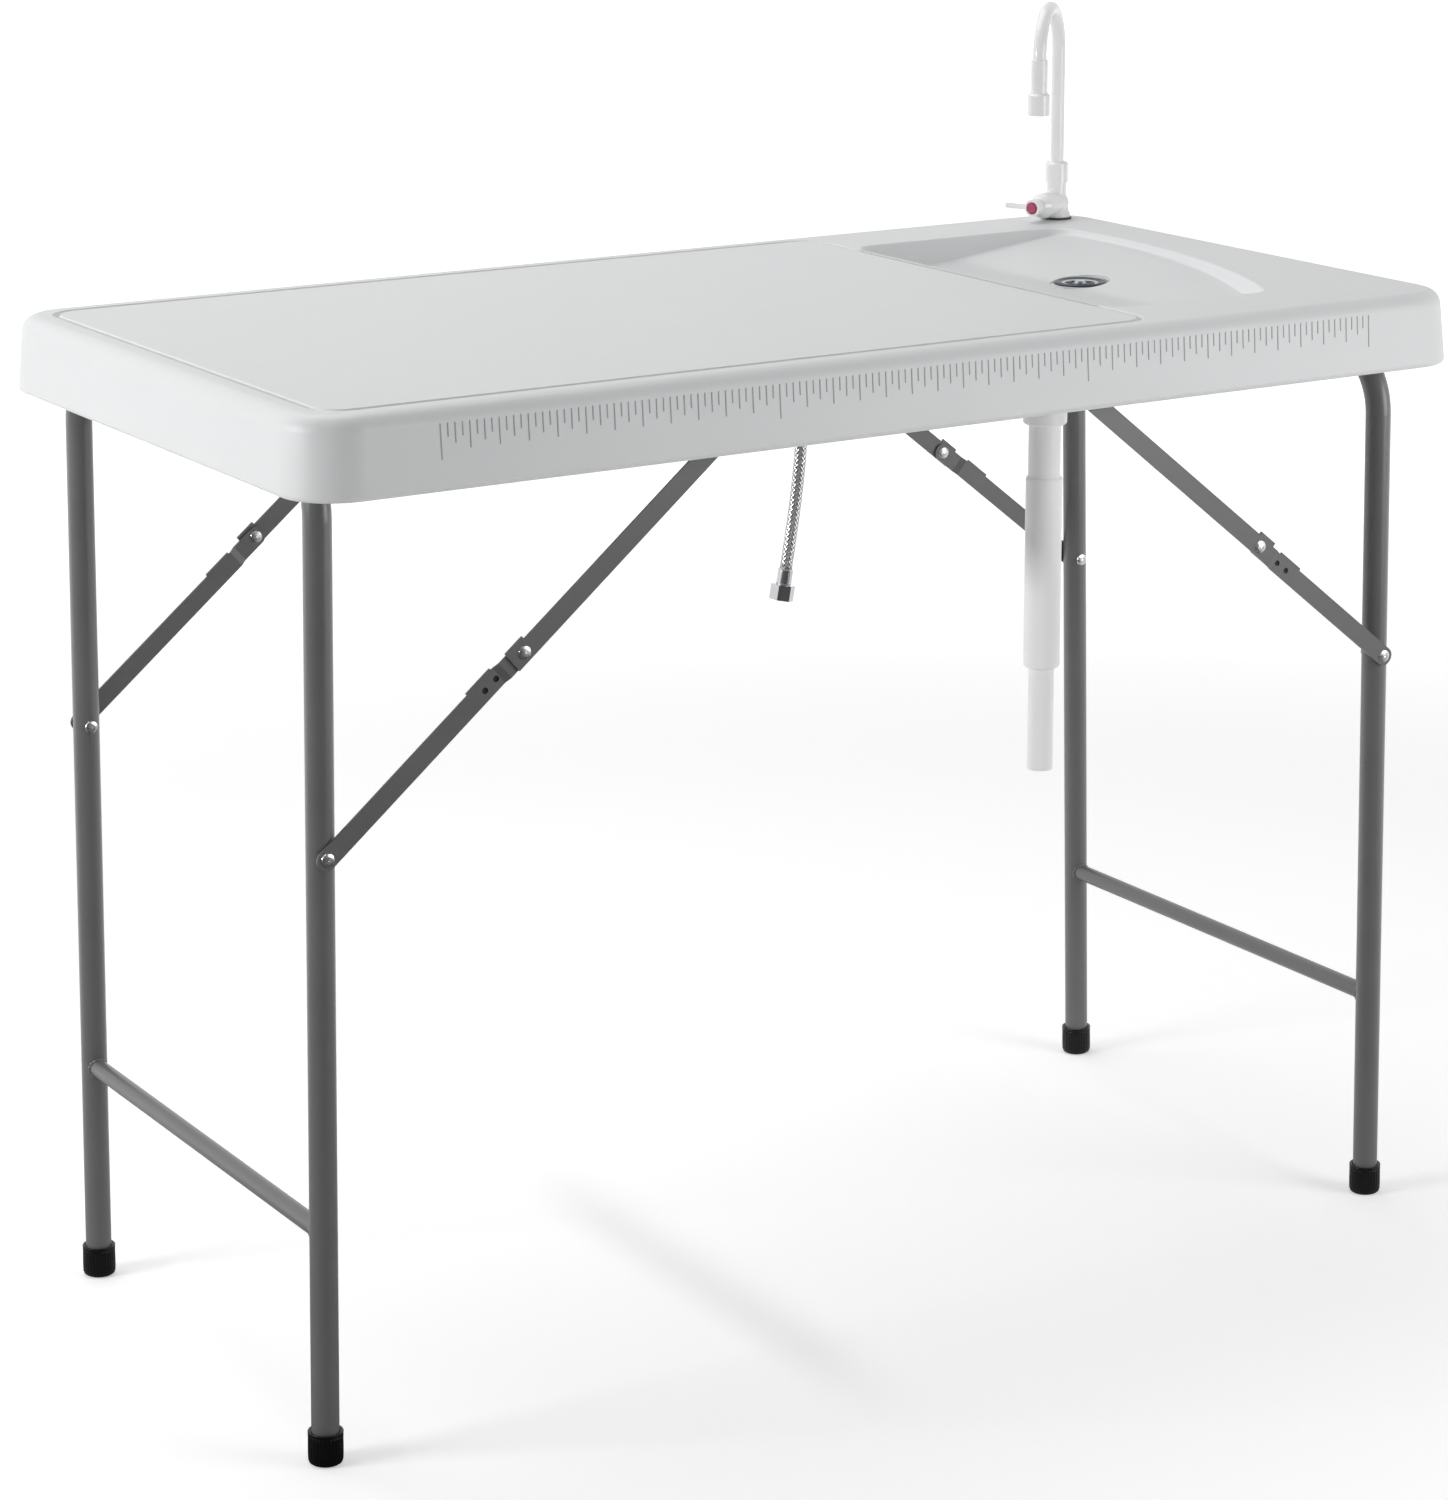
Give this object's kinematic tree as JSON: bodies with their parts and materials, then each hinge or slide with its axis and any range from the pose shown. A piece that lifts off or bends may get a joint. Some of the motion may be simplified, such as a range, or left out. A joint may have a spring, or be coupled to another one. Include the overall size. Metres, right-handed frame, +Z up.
{
  "type": "camping sink stand",
  "caption": "Folding table with a moulded sink, faucet, braided supply hose and drain pipe, on tubular steel legs that fold flat under the top.",
  "frame": {"origin": "on the floor under the middle of the table top", "axes": "+X along the table to the sink end, +Y to the long side behind the faucet, +Z up"},
  "size_m": [1.1424, 0.6034, 1.0919],
  "materials": {
    "table_plastic": "fine-grained moulded",
    "saddle_plastic": "moulded",
    "powder_coat": "grey powder coat",
    "zinc_steel": "bright zinc plate",
    "foot_plastic": "matt black",
    "faucet_plastic": "gloss",
    "red_plastic": "gloss",
    "seal_rubber": "matt",
    "strainer_steel": "dull steel",
    "drain_plastic": "milky, smooth",
    "hose_braid": "stainless braid over rubber",
    "hose_fitting": "nickel plate"
  },
  "bodies": {
    "table": {"tabletop": "table_plastic", "sink_basin": "table_plastic", "left_saddles": "saddle_plastic", "right_saddles": "saddle_plastic", "saddle_screws": "zinc_steel", "left_brace_brackets": "powder_coat", "right_brace_brackets": "powder_coat", "bracket_screws": "zinc_steel", "brace_top_rivets": "zinc_steel", "faucet_gasket": "seal_rubber", "faucet_body": "faucet_plastic", "spout_collar_nut": "faucet_plastic", "shank_washer": "faucet_plastic", "faucet_mounting_nut": "faucet_plastic", "drain_strainer": "strainer_steel", "drain_body": "drain_plastic", "drain_seal": "seal_rubber", "drain_lock_nut": "drain_plastic", "drain_coupling_nut": "drain_plastic", "drain_tailpiece": "drain_plastic", "drain_sleeve": "drain_plastic", "drain_end_tube": "drain_plastic", "supply_hose": "hose_braid", "hose_inlet_nut": "hose_fitting", "hose_inlet_washer": "seal_rubber", "hose_inlet_ferrule": "hose_fitting", "hose_outlet_ferrule": "hose_fitting", "hose_outlet_washer": "seal_rubber"},
    "left_leg": {"left_leg_frame": "powder_coat", "left_crossbar": "powder_coat", "left_front_foot": "foot_plastic", "left_back_foot": "foot_plastic", "left_leg_rivets": "zinc_steel"},
    "left_front_upper": {"left_front_upper_link": "powder_coat", "left_front_hinge_rivet": "zinc_steel"},
    "left_front_lower": {"left_front_lower_link": "powder_coat", "left_front_hinge_tail": "zinc_steel"},
    "left_back_upper": {"left_back_upper_link": "powder_coat", "left_back_hinge_rivet": "zinc_steel"},
    "left_back_lower": {"left_back_lower_link": "powder_coat", "left_back_hinge_tail": "zinc_steel"},
    "right_leg": {"right_leg_frame": "powder_coat", "right_crossbar": "powder_coat", "right_front_foot": "foot_plastic", "right_back_foot": "foot_plastic", "right_leg_rivets": "zinc_steel"},
    "right_front_upper": {"right_front_upper_link": "powder_coat", "right_front_hinge_rivet": "zinc_steel"},
    "right_front_lower": {"right_front_lower_link": "powder_coat", "right_front_hinge_tail": "zinc_steel"},
    "right_back_upper": {"right_back_upper_link": "powder_coat", "right_back_hinge_rivet": "zinc_steel"},
    "right_back_lower": {"right_back_lower_link": "powder_coat", "right_back_hinge_tail": "zinc_steel"},
    "spout": {"faucet_spout": "faucet_plastic", "faucet_aerator": "faucet_plastic"},
    "lever": {"faucet_lever": "faucet_plastic", "lever_cap": "red_plastic"},
    "hose_nut": {"hose_outlet_nut": "hose_fitting"}
  },
  "joints": [
    {"name": "left_leg_fold", "type": "hinge", "parent": "table", "child": "left_leg", "pos_m": [-0.5287, 0, 0.844], "axis": [0, -1, 0], "range_deg": [0, 91.45]},
    {"name": "left_front_upper_fold", "type": "hinge", "parent": "table", "child": "left_front_upper", "pos_m": [-0.138, -0.2499, 0.844], "axis": [0, 1, 0], "range_deg": [0, 39.47]},
    {"name": "left_front_lower_fold", "type": "hinge", "parent": "left_leg", "child": "left_front_lower", "pos_m": [-0.53702, -0.2453, 0.5154], "axis": [0, -1, 0], "range_deg": [0, 49.08]},
    {"name": "left_back_upper_fold", "type": "hinge", "parent": "table", "child": "left_back_upper", "pos_m": [-0.138, 0.2499, 0.844], "axis": [0, 1, 0], "range_deg": [0, 39.47]},
    {"name": "left_back_lower_fold", "type": "hinge", "parent": "left_leg", "child": "left_back_lower", "pos_m": [-0.53702, 0.2453, 0.5154], "axis": [0, -1, 0], "range_deg": [0, 49.08]},
    {"name": "right_leg_fold", "type": "hinge", "parent": "table", "child": "right_leg", "pos_m": [0.5287, 0, 0.817], "axis": [0, 1, 0], "range_deg": [0, 91.45]},
    {"name": "right_front_upper_fold", "type": "hinge", "parent": "table", "child": "right_front_upper", "pos_m": [0.1804, -0.2499, 0.817], "axis": [0, -1, 0], "range_deg": [0, 38.66]},
    {"name": "right_front_lower_fold", "type": "hinge", "parent": "right_leg", "child": "right_front_lower", "pos_m": [0.5359, -0.2453, 0.5326], "axis": [0, 1, 0], "range_deg": [0, 49.89]},
    {"name": "right_back_upper_fold", "type": "hinge", "parent": "table", "child": "right_back_upper", "pos_m": [0.1804, 0.2499, 0.817], "axis": [0, -1, 0], "range_deg": [0, 38.66]},
    {"name": "right_back_lower_fold", "type": "hinge", "parent": "right_leg", "child": "right_back_lower", "pos_m": [0.5359, 0.2453, 0.5326], "axis": [0, 1, 0], "range_deg": [0, 49.89]},
    {"name": "spout_swivel", "type": "hinge", "parent": "table", "child": "spout", "pos_m": [0.525, 0.259, 0.922], "axis": [0, 0, 1], "continuous": true},
    {"name": "lever_turn", "type": "hinge", "parent": "table", "child": "lever", "pos_m": [0.525, 0.259, 0.89], "axis": [0.9272, 0.3746, 0], "range_deg": [0, 90]},
    {"name": "hose_nut_spin", "type": "hinge", "parent": "table", "child": "hose_nut", "pos_m": [0.2095, 0.264, 0.556], "axis": [-0.1923, -0.0133, -0.9813], "continuous": true}
  ],
  "couplings": [
    {"joint": "left_front_upper_fold", "follows": "left_leg_fold", "ratio": 0.43163},
    {"joint": "left_front_lower_fold", "follows": "left_leg_fold", "ratio": 0.53666},
    {"joint": "left_back_upper_fold", "follows": "left_leg_fold", "ratio": 0.43163},
    {"joint": "left_back_lower_fold", "follows": "left_leg_fold", "ratio": 0.53666},
    {"joint": "right_front_upper_fold", "follows": "right_leg_fold", "ratio": 0.42274},
    {"joint": "right_front_lower_fold", "follows": "right_leg_fold", "ratio": 0.54555},
    {"joint": "right_back_upper_fold", "follows": "right_leg_fold", "ratio": 0.42274},
    {"joint": "right_back_lower_fold", "follows": "right_leg_fold", "ratio": 0.54555}
  ]
}
